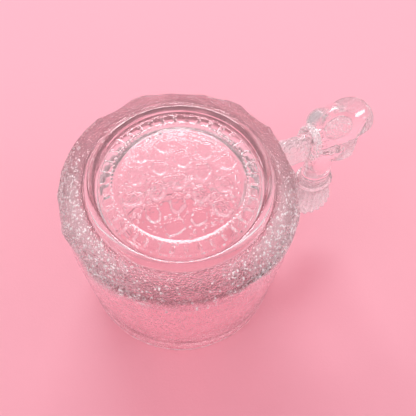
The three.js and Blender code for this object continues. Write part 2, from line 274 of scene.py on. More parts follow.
def heel_and_wall():
    """Outline of the unchipped heel and wall, from the foot ring out and down to the ledge.

    Each point is (radius, height, outward radius, outward height, distance along, grain, frost).
    """
    slope = STONE_RADIUS - HEEL_INNER
    edge = HEEL_Z - LIP_HEIGHT
    outline = []
    steps = 22
    bend = 0.86  # share of the slope where the round over to the wall starts

    def fall(share):
        return HEEL_TOP - HEEL_DROP * share**HEEL_CURVE

    for i in range(1, steps + 1):
        share = bend * i / steps
        tangent = -HEEL_DROP * HEEL_CURVE * share ** (HEEL_CURVE - 1)
        length = math.hypot(slope, tangent)
        along = edge + (1 - share) * slope
        grain = smooth(share, 0.02, 0.1) * (1 - 0.1 * smooth(share, 0.6, bend))
        frost = 0.1 + 0.5 * smooth(share, 0.4, bend)
        outline.append(
            (HEEL_INNER + share * slope, fall(share), -tangent / length, slope / length, along, grain, frost)
        )
    start = Vector((HEEL_INNER + bend * slope, fall(bend)))
    end = Vector((STONE_RADIUS, HEEL_Z - BEND_DROP))
    corner = Vector((STONE_RADIUS, fall(0.97)))
    turn_steps = 7
    for i in range(1, turn_steps + 1):
        t = i / turn_steps
        point = start * (1 - t) ** 2 + corner * 2 * t * (1 - t) + end * t * t
        way = (corner - start) * 2 * (1 - t) + (end - corner) * 2 * t
        out = Vector((-way.y, way.x)).normalized()
        along = (edge + (1 - bend) * slope) * (1 - t) + (end.y - LIP_HEIGHT) * t
        outline.append((point.x, point.y, out.x, out.y, along, 0.9, WALL_FROST))
    bottom = LIP_HEIGHT + LEDGE_HEIGHT
    wall_steps = 30
    heights = [end.y + (bottom - end.y) * i / wall_steps for i in range(1, wall_steps)]
    for z in heights + [bottom + ARRIS, bottom]:
        grain = 0.01 + 0.89 * smooth(z, HEEL_Z - 8, HEEL_Z - BEND_DROP)
        outline.append((STONE_RADIUS, z, 1.0, 0.0, z - LIP_HEIGHT, grain, WALL_FROST))
    return outline


def rim_point(centre_radius, turn):
    """A point of the rounded rim, at an angle round its section."""
    return centre_radius + RIM_ROUND * math.cos(turn), RIM_ROUND + RIM_ROUND * math.sin(turn)


def add_base(skin):
    """The base, flat as yet, from the middle outwards."""
    edge = FOOT_RADIUS - FOOT_WIDTH - 0.1
    steps = round(edge / BASE_CELL)
    skin.pole(RELIEF_Z)
    for i in range(1, steps + 1):
        radius = edge * i / steps
        skin.ring(columns_at(radius), radius, RELIEF_Z)


def add_foot_ring(skin):
    """The foot ring, steep inside, with a rounded crest that runs out gently into the heel."""
    steps = 14
    for i in range(steps + 1):
        t = math.pi * i / steps
        inside = t < math.pi / 2
        low = RELIEF_Z if inside else HEEL_TOP
        radius = FOOT_RADIUS - FOOT_WIDTH / 2 * (1 + math.cos(t))
        height = low + (MUG_HEIGHT - low) * math.sin(t) ** (0.55 if inside else 1.5)
        skin.ring(TURN_COLUMNS, radius, height)


def add_heel_and_wall(skin):
    """The chipped heel and wall. Their stipple is worn towards the front of the bend."""
    front = np.arange(TURN_COLUMNS) / TURN_COLUMNS * TAU - FRONT_ANGLE
    polish = np.clip(0.1 + 0.7 * np.cos(front - 0.5), 0, 0.8)
    for radius, height, out_r, out_z, along, grain, frost in heel_and_wall():
        fade = 0.2 + 0.8 * smooth(radius, STONE_RADIUS - 5, STONE_RADIUS - 1)
        fade *= 0.12 + 0.88 * smooth(height, HEEL_Z - 20, HEEL_Z - 3)

        def chipped_row(angle):
            depth = fade * chipped(angle, along + 0 * angle)
            return radius - out_r * depth, height - out_z * depth

        worn = smooth(radius, STONE_RADIUS - 3.6, STONE_RADIUS - 1.2)
        skin.row(TURN_COLUMNS, chipped_row, grain * (1 - worn * polish), frost)


def add_lip(skin):
    """The ledge under the wall, the lip band with its bead, and the outer half of the rim."""
    rows = [(LIP_RADIUS + 0.5, LIP_HEIGHT + 0.5), (LIP_RADIUS, LIP_HEIGHT - 0.3)]
    rows += [(LIP_RADIUS, LIP_HEIGHT * share) for share in (0.85, 0.7, 0.6)]
    bead_steps, rim_steps = 7, 6
    for i in range(bead_steps + 1):
        t = math.pi * i / bead_steps
        rise = LIP_BEAD_RISE * math.sin(t)
        rows.append((LIP_RADIUS + rise, LIP_BEAD_Z + LIP_BEAD_HALF_HEIGHT * math.cos(t)))
    for i in range(rim_steps + 1):
        rows.append(rim_point(LIP_RADIUS - RIM_ROUND, math.radians(-90 * i / rim_steps)))
    for radius, height in rows:
        skin.ring(TURN_COLUMNS, radius, height)


def add_cavity(skin):
    """The inner half of the rim, and the cavity up to its floor."""
    rim_steps, wall_steps, corner_steps = 6, 12, 18
    top = FLOOR_Z - CAVITY_FILLET
    flat = CAVITY_FLOOR - CAVITY_FILLET
    rows = []
    for i in range(rim_steps + 1):
        rows.append(rim_point(CAVITY_MOUTH + RIM_ROUND, math.radians(-90 - 90 * i / rim_steps)))
    for i in range(1, wall_steps + 1):
        z = RIM_ROUND + (top - RIM_ROUND) * i / wall_steps
        taper = max(0.0, (z - CAVITY_STRAIGHT) / (top - CAVITY_STRAIGHT))
        rows.append((CAVITY_MOUTH + (CAVITY_FLOOR - CAVITY_MOUTH) * taper, z))
    for i in range(1, corner_steps + 1):
        t = math.radians(90 * i / corner_steps)
        rows.append((flat + CAVITY_FILLET * math.cos(t), top + CAVITY_FILLET * math.sin(t)))
    rows += [(radius, FLOOR_Z) for radius in (20.0, 18.0, 15.0)]
    for radius, height in rows:
        columns = TURN_COLUMNS if height < RIM_ROUND else TURN_COLUMNS // (2 if radius > 16 else 4)
        skin.ring(columns, radius, height)
    skin.ring(TURN_COLUMNS // 8, 8, FLOOR_Z)
    skin.pole(FLOOR_Z)


def cup_skin():
    skin = Skin()
    add_base(skin)
    add_foot_ring(skin)
    add_heel_and_wall(skin)
    add_lip(skin)
    add_cavity(skin)
    return skin


def mesh_object(name, points, faces):
    mesh = bpy.data.meshes.new(name)
    mesh.from_pydata(points, [], faces)
    mesh.update()
    obj = bpy.data.objects.new(name, mesh)
    bpy.context.collection.objects.link(obj)
    return obj


def baked(obj, name):
    """The object's evaluated mesh as a new object; the old one goes."""
    graph = bpy.context.evaluated_depsgraph_get()
    mesh = bpy.data.meshes.new_from_object(obj.evaluated_get(graph))
    mesh.name = name
    made = bpy.data.objects.new(name, mesh)
    bpy.context.collection.objects.link(made)
    bpy.data.objects.remove(obj)
    return made


# Node trees
def put(tree, kind, values=(), **settings):
    """Adds a node. values maps input names or numbers to a constant or to the socket that feeds it."""
    made = tree.nodes.new(kind)
    for key, value in settings.items():
        setattr(made, key, value)
    for key, value in dict(values).items():
        if isinstance(value, bpy.types.NodeSocket):
            tree.links.new(value, made.inputs[key])
        else:
            made.inputs[key].default_value = value
    return made


def math_of(tree, operation, *values):
    return put(tree, "ShaderNodeMath", dict(enumerate(values)), operation=operation).outputs[0]


def vector_of(tree, operation, *values):
    return put(tree, "ShaderNodeVectorMath", dict(enumerate(values)), operation=operation).outputs[0]


def dot_of(tree, vector, direction):
    values = {0: vector, 1: direction}
    return put(tree, "ShaderNodeVectorMath", values, operation="DOT_PRODUCT").outputs["Value"]


def scaled(tree, vector, scale):
    return put(tree, "ShaderNodeVectorMath", {0: vector, "Scale": scale}, operation="SCALE").outputs[0]


def ranged(tree, value, low, high, start=0.0, end=1.0, kind="SMOOTHSTEP"):
    """Turns low to high into start to end, and holds the ends outside them."""
    values = {"Value": value, "From Min": low, "From Max": high, "To Min": start, "To Max": end}
    return put(tree, "ShaderNodeMapRange", values, interpolation_type=kind).outputs[0]


def attribute_of(tree, name, kind="FLOAT"):
    """The skin's named attribute, in a Geometry Nodes tree."""
    return put(tree, "GeometryNodeInputNamedAttribute", {"Name": name}, data_type=kind).outputs[0]


def group_tree(name, kind, inputs, outputs):
    """A node group with named sockets; inputs and outputs map a name to (socket type, value)."""
    tree = bpy.data.node_groups.new(name, kind)
    for in_out, sockets in (("INPUT", inputs), ("OUTPUT", outputs)):
        for socket, (socket_type, value) in sockets.items():
            made = tree.interface.new_socket(socket, in_out=in_out, socket_type=socket_type)
            if value is not None:
                made.default_value = value
    return tree, tree.nodes.new("NodeGroupInput"), tree.nodes.new("NodeGroupOutput")


def raised_relief_tree():
    """Raises the base where filled pebble outlines, beads and dashes lie over it, with rounded edges."""
    sizes = {
        "Plate Radius": PLATE_RADIUS, "Plate Height": PLATE_HEIGHT, "Pebble Height": PEBBLE_HEIGHT,
        "Dash Ring": DASH_RING, "Dash Length": DASH_LENGTH, "Dash Width": DASH_WIDTH,
        "Edge": RELIEF_EDGE, "Waviness": PEBBLE_WAVINESS, "Bead Ring": BEAD_RING, "Bead Size": BEAD_SIZE,
        "Border Height": BORDER_HEIGHT, "Bevel Top": BEVEL_TOP, "Bevel Width": BEVEL_WIDTH,
    }
    inputs = {"Geometry": ("NodeSocketGeometry", None), "Places": ("NodeSocketObject", None)}
    inputs["Dash Count"] = ("NodeSocketInt", DASH_COUNT)
    inputs["Bead Count"] = ("NodeSocketInt", BEAD_COUNT)
    inputs.update({name: ("NodeSocketFloat", value) for name, value in sizes.items()})
    outputs = {"Geometry": ("NodeSocketGeometry", None)}
    tree, given, result = group_tree("raised_relief", "GeometryNodeTree", inputs, outputs)
    tree.is_modifier = True
    g = given.outputs

    def laid_out(points, shape, **more):
        """A copy of the shape on each point, as real faces."""
        values = {"Points": points, "Instance": shape, **more}
        copies = put(tree, "GeometryNodeInstanceOnPoints", values).outputs[0]
        return put(tree, "GeometryNodeRealizeInstances", {"Geometry": copies}).outputs[0]

    def circle(vertices, radius, fill="NONE"):
        values = {"Vertices": vertices, "Radius": radius}
        return put(tree, "GeometryNodeMeshCircle", values, fill_type=fill).outputs[0]

    # Pebble outlines on their places, each with its own size and turn
    places = put(tree, "GeometryNodeObjectInfo", {"Object": g["Places"]}).outputs["Geometry"]
    turned = put(tree, "ShaderNodeCombineXYZ", {"Z": attribute_of(tree, "turn")}).outputs[0]
    size = attribute_of(tree, "size", "FLOAT_VECTOR")
    pebbles = laid_out(places, circle(28, 1.0, "NGON"), Rotation=turned, Scale=size)

    # Dashes round a ring
    dash = put(
        tree, "GeometryNodeMeshGrid",
        {"Size X": g["Dash Length"], "Size Y": g["Dash Width"], "Vertices X": 2, "Vertices Y": 2},
    ).outputs[0]
    index = put(tree, "GeometryNodeInputIndex").outputs[0]
    angle = math_of(tree, "MULTIPLY", index, math_of(tree, "DIVIDE", TAU, g["Dash Count"]))
    facing = put(tree, "ShaderNodeCombineXYZ", {"Z": angle}).outputs[0]
    dashes = laid_out(circle(g["Dash Count"], g["Dash Ring"]), dash, Rotation=facing)

    # Fine beads round a ring inside the dashes
    pearls = laid_out(circle(g["Bead Count"], g["Bead Ring"]), circle(10, g["Bead Size"], "NGON"))

    # The point at which the pebbles are looked up is shifted a little, so that their outlines are wavy
    position = put(tree, "GeometryNodeInputPosition").outputs[0]
    flat = vector_of(tree, "MULTIPLY", position, (1.0, 1.0, 0.0))
    wave = put(tree, "ShaderNodeTexNoise", {"Vector": flat, "Scale": 0.45, "Detail": 1.0}).outputs["Color"]
    shift = scaled(tree, vector_of(tree, "SUBTRACT", wave, (0.5, 0.5, 0.5)), g["Waviness"])
    wavy = vector_of(tree, "ADD", flat, vector_of(tree, "MULTIPLY", shift, (2.0, 2.0, 0.0)))

    def plateau(shapes, inward, sample):
        """1 where the sample point is well inside the shapes, 0 outside, with a rounded edge."""
        near = {"Geometry": shapes, "Sample Position": sample}
        off_face = put(tree, "GeometryNodeProximity", near, target_element="FACES").outputs["Distance"]
        off_edge = put(tree, "GeometryNodeProximity", near, target_element="EDGES").outputs["Distance"]
        is_inside = math_of(tree, "LESS_THAN", off_face, 1e-4)
        depth = math_of(tree, "SUBTRACT", math_of(tree, "MULTIPLY", off_edge, is_inside), off_face)
        low = math_of(tree, "MULTIPLY", g["Edge"], -0.5)
        high = math_of(tree, "MULTIPLY", g["Edge"], inward)
        return ranged(tree, depth, low, high)

    ringed = math_of(tree, "MAXIMUM", plateau(dashes, 0.6, flat), plateau(pearls, 1.0, flat))
    raised = math_of(tree, "MAXIMUM", plateau(pebbles, 2.0, wavy), ringed)
    bubbles = put(tree, "ShaderNodeTexNoise", {"Vector": flat, "Scale": 0.9, "Detail": 1.0}).outputs[0]
    uneven = math_of(tree, "ADD", math_of(tree, "MULTIPLY", bubbles, 0.4), 0.75)
    uneven = math_of(tree, "MULTIPLY", raised, math_of(tree, "MINIMUM", uneven, 1.0))
    pebble_height = math_of(tree, "MULTIPLY", uneven, g["Pebble Height"])
    reach = put(tree, "ShaderNodeVectorMath", {0: flat}, operation="LENGTH").outputs["Value"]
    plate_start = math_of(tree, "SUBTRACT", g["Plate Radius"], 0.5)
    on_plate = ranged(tree, reach, plate_start, g["Plate Radius"], 1.0, 0.0)
    bevel_start = math_of(tree, "SUBTRACT", g["Bevel Top"], g["Bevel Width"])
    border = ranged(tree, reach, bevel_start, g["Bevel Top"], 0.0, g["Border Height"], "LINEAR")
    plate = math_of(tree, "ADD", g["Plate Height"], border)
    height = math_of(tree, "MULTIPLY", math_of(tree, "ADD", pebble_height, plate), on_plate)
    on_base = math_of(tree, "MULTIPLY", height, attribute_of(tree, "base"))
    offset = put(tree, "ShaderNodeCombineXYZ", {"Z": on_base}).outputs[0]
    moved = put(tree, "GeometryNodeSetPosition", {"Geometry": g["Geometry"], "Offset": offset})
    tree.links.new(moved.outputs[0], result.inputs[0])
    return tree


def stipple_tree():
    """Raises fine grains on the skin along its normals, as much as its stone attribute says."""
    inputs = {"Geometry": ("NodeSocketGeometry", None)}
    inputs["Grain"] = ("NodeSocketFloat", STIPPLE_GRAIN)
    inputs["Height"] = ("NodeSocketFloat", STIPPLE_HEIGHT)
    outputs = {"Geometry": ("NodeSocketGeometry", None)}
    tree, given, result = group_tree("stipple_grains", "GeometryNodeTree", inputs, outputs)
    tree.is_modifier = True
    g = given.outputs
    scale = math_of(tree, "DIVIDE", 1.0, g["Grain"])
    grains = put(tree, "ShaderNodeTexNoise", {"Scale": scale, "Detail": 1.5, "Roughness": 0.6}).outputs[0]
    centred = math_of(tree, "SUBTRACT", grains, 0.5)
    height = math_of(tree, "MULTIPLY", centred, g["Height"])
    height = math_of(tree, "MULTIPLY", height, attribute_of(tree, "stone"))
    offset = scaled(tree, put(tree, "GeometryNodeInputNormal").outputs[0], height)
    moved = put(tree, "GeometryNodeSetPosition", {"Geometry": g["Geometry"], "Offset": offset})
    tree.links.new(moved.outputs[0], result.inputs[0])
    return tree


def with_tree(obj, tree, **values):
    """Adds a Geometry Nodes modifier; values are its inputs, by socket name with _ for a space."""
    modifier = obj.modifiers.new(tree.name, "NODES")
    modifier.node_group = tree
    sockets = {item.name: item.identifier for item in tree.interface.items_tree if item.in_out == "INPUT"}
    for name, value in values.items():
        modifier[sockets[name.replace("_", " ")]] = value
    return modifier


def pebble_places():
    """One point for each pebble and each bit of gravel, with its outline's half sizes and turn."""
    golden_angle = 2.39996
    dash_inner = DASH_RING - DASH_LENGTH - RELIEF_MARGIN
    pitch = 2 * dash_inner / len(PEBBLE_ROWS)
    points, sizes, turns = [], [], []
    for row, count in enumerate(PEBBLE_ROWS):
        for i in range(count):
            y = (row - (len(PEBBLE_ROWS) - 1) / 2) * pitch * ROW_NESTING
            points.append(((i - (count - 1) / 2) * pitch, y, 0.0))
            size = pitch * (0.36 + 0.1 * scatter(row, i, 4))
            sizes += [size, size * (0.7 + 0.25 * scatter(row, i, 5)), 1.0]
            turns.append(scatter(row, i, 6) * math.pi)
    big = [(x, y, sizes[3 * i]) for i, (x, y, z) in enumerate(points)]
    for i in range(GRAVEL_COUNT):
        reach = (BEVEL_TOP - BEVEL_WIDTH - 0.8) * math.sqrt((i + 0.5) / GRAVEL_COUNT)
        x, y = reach * math.cos(i * golden_angle), reach * math.sin(i * golden_angle)
        size = 0.45 + 0.5 * scatter(i, 0, 8)
        if all(math.hypot(x - bx, y - by) > 0.92 * br + size for bx, by, br in big):
            points.append((x, y, 0.0))
            sizes += [size, size * (0.6 + 0.4 * scatter(i, 0, 9)), 1.0]
            turns.append(scatter(i, 0, 10) * math.pi)
    places = mesh_object("pebble_places", points, [])
    places.data.attributes.new("size", "FLOAT_VECTOR", "POINT").data.foreach_set("vector", sizes)
    places.data.attributes.new("turn", "FLOAT", "POINT").data.foreach_set("value", turns)
    return places


def set_values(obj, name, values):
    """Gives the mesh a point attribute."""
    obj.data.attributes.new(name, "FLOAT", "POINT").data.foreach_set("value", values)


def make_cup():
    skin = cup_skin()
    inside = FOOT_RADIUS - FOOT_WIDTH
    base = [1.0 if z >= RELIEF_Z - 0.01 and math.hypot(x, y) < inside else 0.0 for x, y, z in skin.points]
    cup = mesh_object("cup", skin.points, skin.faces)
    set_values(cup, "stone", skin.stone)
    set_values(cup, "frost", skin.frost)
    set_values(cup, "base", base)
    set_values(cup, "painted_glint", [painted_glint_share(*point) for point in skin.points])
    places = pebble_places()
    with_tree(cup, raised_relief_tree(), Places=places)
    with_tree(cup, stipple_tree())
    cup = baked(cup, "cup")
    bpy.data.objects.remove(places)
    return cup


# Handle
def loft(rings):
    """Points and faces of a closed body through rings of equally many points, with flat ends."""
    count = len(rings[0])
    points = [tuple(p) for ring in rings for p in ring]
    faces = []
    for i in range(len(rings) - 1):
        a, b = i * count, (i + 1) * count
        faces += [(a + j, a + (j + 1) % count, b + (j + 1) % count, b + j) for j in range(count)]
    faces.append(tuple(reversed(range(count))))
    faces.append(tuple(range((len(rings) - 1) * count, len(rings) * count)))
    return points, faces


def stone(
    centre, half, tilt=0.0, lumps=0.05, lump_size=0.9, cuts=(), flatness=0.75, steps=(64, 40), brow=None
):
    """A rounded stone with pressed facets.

    cuts are (direction, share of the half size) where a facet is pressed, quite flat at flatness 1. brow is
    (direction, limit): the first cut stops where the stone reaches past the limit in that direction.
    """
    around, up = steps
    turn = Matrix.Rotation(math.radians(tilt), 3, "X")
    cuts = [(Vector(direction).normalized(), share) for direction, share in cuts]
    rings = []
    for i in range(1, up):
        t = math.pi * i / up - math.pi / 2
        ring = []
        for j in range(around):
            a = TAU * j / around
            p = Vector((math.cos(t) * math.cos(a), math.cos(t) * math.sin(a), math.sin(t)))
            size = 1 + lumps * noise.noise(p / lump_size + Vector(centre))
            for number, (direction, share) in enumerate(cuts):
                facing = max(0.0, p.dot(direction)) ** flatness
                under = smooth(brow[1] - p.dot(brow[0]), 0, 0.08) if brow and number == 0 else 1.0
                if facing * size > share:
                    size += under * (share / facing - size)
            q = turn @ Vector((p.x * half[0] * size, p.y * half[1] * size, p.z * half[2] * size))
            ring.append(q + Vector(centre))
        rings.append(ring)
    return loft(rings)


def oval_ring(x, y, z, half_x, half_y, flutes=0.0, count=12, sides=120, phase=0.0):
    ring = []
    for j in range(sides):
        t = TAU * j / sides
        inset = flutes * (1 - abs(math.cos((count * t + phase) / 2)))
        ring.append((x + (half_x - inset) * math.cos(t), y + (half_y - inset) * math.sin(t), z))
    return ring


def pleated_bar(start, end, start_z, end_z, start_half, end_half, pleats, pleat_depth):
    """A bar along X with an oval section that widens at both ends, and pleats that run along it."""
    rings = []
    steps = 36
    sides = 144
    for i in range(steps + 1):
        share = i / steps
        wide = 1 + (ARM_SWELL - 1) * (2 * share - 1) ** 2
        x = start + (end - start) * share
        z = start_z + (end_z - start_z) * share
        half = [(a + (b - a) * share) * wide for a, b in zip(start_half, end_half)]
        ring = []
        for j in range(sides):
            t = TAU * j / sides
            wander = 0.8 * noise.noise(Vector((x * 0.12, math.cos(t), math.sin(t))))
            fold = 1 - pleat_depth * (1 - abs(math.cos(pleats * (t + wander) / 2)))
            ring.append((x, half[0] * fold * math.cos(t), z + half[1] * fold * math.sin(t)))
        rings.append(ring)
    return loft(rings)


def column_body():
    rings = []
    for i in range(13):
        share = i / 12
        inset = 0.7 * math.sin(math.pi * share)
        z = COLUMN_BOTTOM - 1 + (COLLAR_BOTTOM + 2 - COLUMN_BOTTOM) * share
        x = COLUMN_FOOT_X + (COLUMN_X - COLUMN_FOOT_X) * share
        rings.append(oval_ring(x, 0, z, COLUMN_HALF[0] - inset, COLUMN_HALF[1] - inset, 0.25, 6))
    return loft(rings)


def collar_body():
    rings = []
    for i in range(11):
        share = i / 10
        spread = 2.8 * min(1.0, 0.2 + share)
        z = COLLAR_BOTTOM + (COLLAR_TOP - COLLAR_BOTTOM) * share
        rings.append(oval_ring(COLUMN_X, 0, z, COLUMN_HALF[0] + spread, COLUMN_HALF[1] + spread,
                               0.8 * min(1.0, 4 * share), 20))
    return loft(rings)


def cuff_body():
    rings = []
    for i in range(25):
        t = math.pi * i / 24
        bulge = 0.5 + 1.3 * abs(math.sin(2 * t)) ** 0.7
        z = (CUFF_BOTTOM + COLUMN_BOTTOM) / 2 - (COLUMN_BOTTOM - CUFF_BOTTOM + 0.6) / 2 * math.cos(t)
        half_x, half_y = COLUMN_HALF[0] + bulge, COLUMN_HALF[1] + bulge
        rings.append(oval_ring(COLUMN_FOOT_X, 0, z, half_x, half_y, 0.3, 24))
    return loft(rings)


def flare_body():
    rings = []
    for i in range(25):
        share = i / 24
        spread = 5.0 * (1 - share) ** 1.3
        tuck = 0.9 * smooth(0.08 - share, 0, 0.08)
        z = FLARE_BOTTOM + (CUFF_BOTTOM + 0.8 - FLARE_BOTTOM) * share
        x = COLUMN_FOOT_X + 1.5 * (1 - share)
        half_x = COLUMN_HALF[0] + 0.8 + spread - tuck
        half_y = COLUMN_HALF[1] + 0.8 + spread / 2 - tuck
        rings.append(oval_ring(x, 0, z, half_x, half_y, 1.4 * (1 - 0.5 * share), 22, 176, 3.0 * share))
    return loft(rings)


def beads(centre, half_y, half_z, count, size):
    """A row of beads round an upright oval across the arm."""
    bodies = []
    for i in range(count):
        t = TAU * (i + 0.5) / count
        place = (centre[0], centre[1] + half_y * math.cos(t), centre[2] + half_z * math.sin(t))
        bodies.append(stone(place, (size * 0.8, size, size), lumps=0.0, steps=(14, 9)))
    return bodies


def on_stone(place, centre, half):
    """1 at the skin of a stone and inside it, 0 a little way off."""
    away = place - centre
    return smooth(1.07 - math.hypot(away.x / half[0], away.y / half[1], away.z / half[2]), 0, 0.04)


def handle_bodies():
    """The handle's stones, arms, column and beads, as closed bodies that overlap."""
    arm_end_half = (4.8, (ARM_TOP - ARM_END_Z) / ARM_SWELL)
    lower_z = FLARE_BOTTOM + LOWER_ARM_HALF[1] * ARM_SWELL
    bodies = [
        stone(DOME, DOME_HALF, lumps=0.0, flatness=0.94, brow=(DOME_BROW, BROW_START), steps=(96, 60),
              cuts=[(DOME_FACE, 0.75), ((0.3, -0.9, 0.3), 0.86),
                    ((0.75, 0.1, -0.66), 0.72), ((0.1, -0.8, -0.6), 0.72), ((0.2, 0.8, -0.55), 0.74)]),
        stone(CORE, CORE_HALF, lumps=0.08, lump_size=0.6,
              cuts=[((-0.4, -0.8, 0.5), 0.82), ((0.5, -0.9, -0.1), 0.88), ((-0.8, -0.1, 0.6), 0.86)]),
        stone(BOSS, BOSS_HALF, 20, lumps=0.0),
        stone(SIDE, SIDE_HALF, lumps=0.0,
              cuts=[((-0.6, -0.2, 0.75), 0.84), ((-0.1, -0.7, 0.7), 0.86)]),
        stone(LEDGE, LEDGE_HALF, lumps=0.04,
              cuts=[((0.1, -0.62, 0.78), 0.7), ((0.75, -0.6, 0.1), 0.84), ((-0.5, -0.85, 0.1), 0.86)]),
        pleated_bar(ARM_START, COLUMN_X, ARM_TOP - 7, ARM_END_Z, (4.8, 7), arm_end_half, 22, 0.11),
        pleated_bar(ARM_START, COLUMN_FOOT_X, lower_z, lower_z, LOWER_ARM_HALF, LOWER_ARM_HALF, 9, 0.04),
        collar_body(), column_body(), cuff_body(), flare_body(),
    ]
    bodies += beads((RUFFLE_X, 0, ARM_END_Z + 3.0), 5.6, 8.8, 24, 1.1)
    bodies += beads((RUFFLE_X + 2.2, 0, ARM_END_Z + 2.4), 5.6, 8.8, 25, 1.0)
    return bodies


def handle_finish(place, normal):
    """How grainy and how frosted the handle's skin is at a place, and how much painted glint it gets."""
    x, y, z = place
    off_arm = math.hypot(y / 5.2, (z - ARM_END_Z - 3.0) / 8.4)
    on_ruffle = hump(x, RUFFLE_X + 1.1, 2.6) * smooth(off_arm, 0.95, 1.05)
    on_arm = smooth(x, STONE_RADIUS - 2, STONE_RADIUS) * smooth(RUFFLE_X - x, -1, 1)
    on_arm *= smooth(off_arm, 0.8, 0.96)
    on_foot = smooth(CUFF_BOTTOM + 1 - z, 0, 2)
    on_ledge = on_stone(place, LEDGE, LEDGE_HALF)
    on_dome = on_stone(place, DOME, DOME_HALF)
    on_boss = on_stone(place, BOSS, BOSS_HALF)
    on_side = on_stone(place, SIDE, SIDE_HALF)
    way = Vector([(a - b) / c for a, b, c in zip(place, DOME, DOME_HALF)])
    on_brow = smooth(way.dot(DOME_BROW), BROW_START, BROW_START + 0.06) * on_dome
    on_cheek = smooth(way.dot(DOME_CHEEK), 0.45, 0.8) * on_dome
    dusty = max(on_brow, on_boss, 0.6 * on_cheek, 0.6 * on_side)
    below = smooth(normal.dot(MOULD_SIDE), 0.0, 0.5) * (1.0 if z > COLLAR_BOTTOM else 0.4)
    grain = max(0.6 * on_foot, 0.8 * on_ledge, 0.5 * dusty, 0.9 * on_boss)
    frost = max(0.15 * on_foot, 0.7 * on_ledge, 0.5 * dusty, below)
    # The foot, ruffle, arm ridges, boss and cheek get painted glints
    painted_arm_glint = 1.3 * on_arm if z > COLLAR_BOTTOM - 4 else 0
    painted_glint = max(3.8 * on_foot, 0.3 * on_ledge, 0.5 * on_boss, 0.5 * on_cheek, 2.0 * on_ruffle, painted_arm_glint)
    return grain, frost, painted_glint


def make_handle():
    points, faces = [], []
    for body_points, body_faces in handle_bodies():
        faces += [tuple(len(points) + i for i in face) for face in body_faces]
        points += body_points
    handle = mesh_object("handle", points, faces)
    merged = handle.modifiers.new("merged", "REMESH")
    merged.mode = "VOXEL"
    merged.voxel_size = MERGE_CELL
    merged.use_smooth_shade = True
    softened = handle.modifiers.new("softened", "SMOOTH")
    softened.factor = 0.5
    softened.iterations = 1
    handle = baked(handle, "handle")
    finish = [handle_finish(vertex.co, vertex.normal) for vertex in handle.data.vertices]
    for name, values in zip(("stone", "frost", "painted_glint"), zip(*finish)):
        set_values(handle, name, list(values))
    return handle


def make_mug():
    """The cup and the handle joined into one closed skin, in metres and in its place."""
    cup = make_cup()
    handle = make_handle()
    joined = cup.modifiers.new("joined", "BOOLEAN")
    joined.operation = "UNION"
    joined.solver = "MANIFOLD"
    joined.object = handle
    mug = baked(cup, "pressed_glass_mug")
    bpy.data.objects.remove(handle)
    mug.data.transform(Matrix.Translation((AXIS_X * MM, AXIS_Y * MM, 0)) @ Matrix.Scale(MM, 4))
    mug.data.polygons.foreach_set("use_smooth", [True] * len(mug.data.polygons))
    return mug


# Finishes
CLEAR, STONE, PAINTED_GLINT, PAINTED_SPARK = range(4)
FINISHES = {
    "clear_glass": {
        "tint": (1.0, 0.995, 0.995), "gloss": 0.01, "ripple_length": 6.0, "grain_height": 0.03, "frost": 0.12,
    },
    "stone_glass": {
        "tint": (1.0, 0.975, 0.98), "gloss": 0.02, "ripple_length": 4.0, "grain_height": 0.6, "frost": 0.35,
    },
    # Whitish, partly diffuse glass on scattered faces: painted glints and sparkles, laid over the stipple's
    # real frost
    "painted_glint_glass": {
        "tint": (1.0, 0.985, 0.985), "gloss": 0.05, "ripple_length": 4.0, "grain_height": 0.7, "frost": 0.35,
        "clearness": 0.75,
    },
    "painted_spark_glass": {
        "tint": (1.0, 0.99, 0.99), "gloss": 0.05, "ripple_length": 4.0, "grain_height": 0.4, "frost": 0.35,
        "clearness": 0.2,
    },
}
GRIT_SIZE = 0.5
SHADOW_TINT = (0.56, 0.27, 0.325)  # how much light each of the first four faces lets through to the shadow


def hump(value, centre, width):
    """1 at the centre, falling to 0 at width from it."""
    return max(0.0, 1 - ((value - centre) / width) ** 2)


def painted_glint_share(x, y, z):
    """Share of the cup's cells that scatter light as painted glints, on the heel's left and right, the bead
    and the arris.
    """
    radius = math.hypot(x, y)
    turn = math.degrees((math.atan2(y, x) - FRONT_ANGLE + math.pi) % TAU - math.pi)
    # The painted glints sit left and right of the side that faces the camera
    sides = max(hump(turn, *PAINTED_GLINTS_LEFT), hump(turn, *PAINTED_GLINTS_RIGHT), 0.15 * hump(turn, 0, 60))
    reach = 9 if turn < 0 else 6
    on_heel = smooth(radius, HEEL_INNER + 0.6, HEEL_INNER + 3) * smooth(z, HEEL_Z - reach, HEEL_Z - reach / 3)
    on_bead = 3 * hump(z, LIP_BEAD_Z, 0.5) if radius > LIP_RADIUS + 0.3 else 0.0
    on_arris = 5 * hump(z, LIP_HEIGHT + LEDGE_HEIGHT + ARRIS / 2, 0.4) if radius > LIP_RADIUS + 1 else 0.0
    return max(on_heel * sides, on_bead, on_arris)


def grain_group():
    """Fine pressed-stone grain: a height for bump and a mask of its peaks."""
    tree, given, result = group_tree(
        "stone_grain", "ShaderNodeTree",
        {"Grain": ("NodeSocketFloat", 0.5), "Amount": ("NodeSocketFloat", 1.0)},
        {"Height": ("NodeSocketFloat", None), "Peaks": ("NodeSocketFloat", None)},
    )
    place = put(tree, "ShaderNodeTexCoord").outputs["Object"]
    scale = math_of(tree, "DIVIDE", 1000.0, given.outputs["Grain"])
    pits = put(tree, "ShaderNodeTexVoronoi", {"Vector": place, "Scale": scale}, feature="SMOOTH_F1")
    fine = put(tree, "ShaderNodeTexNoise", {"Vector": place, "Scale": scale, "Detail": 2.0})
    both = math_of(tree, "ADD", pits.outputs["Distance"], fine.outputs[0])
    height = math_of(tree, "MULTIPLY", both, given.outputs["Amount"])
    peaks = ranged(tree, both, 0.7, 1.2, 0.0, 1.0, "LINEAR")
    tree.links.new(height, result.inputs["Height"])
    tree.links.new(peaks, result.inputs["Peaks"])
    return tree


